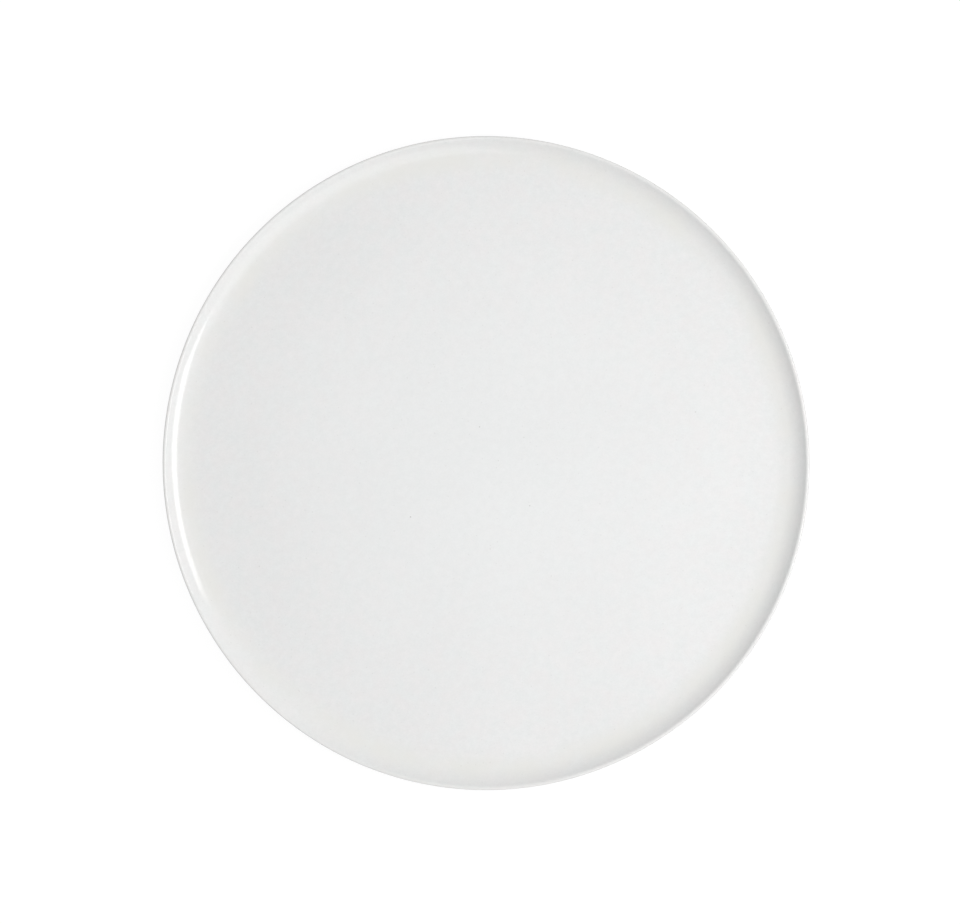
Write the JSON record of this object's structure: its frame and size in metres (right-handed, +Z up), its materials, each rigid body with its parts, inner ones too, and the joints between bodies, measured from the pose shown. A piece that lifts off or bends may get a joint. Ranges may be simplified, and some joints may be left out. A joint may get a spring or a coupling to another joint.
{
  "type": "charger plate",
  "caption": "Round white glazed stoneware charger plate with a flat well, a low coved rim, a rounded lip and a bare clay foot ring.",
  "frame": {"origin": "on the plate's axis, in the plane that the foot ring stands on", "axes": "+Z up along the plate's axis, out of the well; X and Y lie in the table plane and are alike, because the plate is round"},
  "size_m": [0.32, 0.32, 0.015],
  "materials": {
    "stoneware_clay": "bare fired clay, matt, rubbed smooth on the foot",
    "white_glaze": "glossy off-white glaze with a faint mottle and a few iron specks"
  },
  "bodies": {
    "root": {"stoneware_body": "stoneware_clay", "face_glaze": "white_glaze", "base_glaze": "white_glaze"}
  },
  "joints": []
}
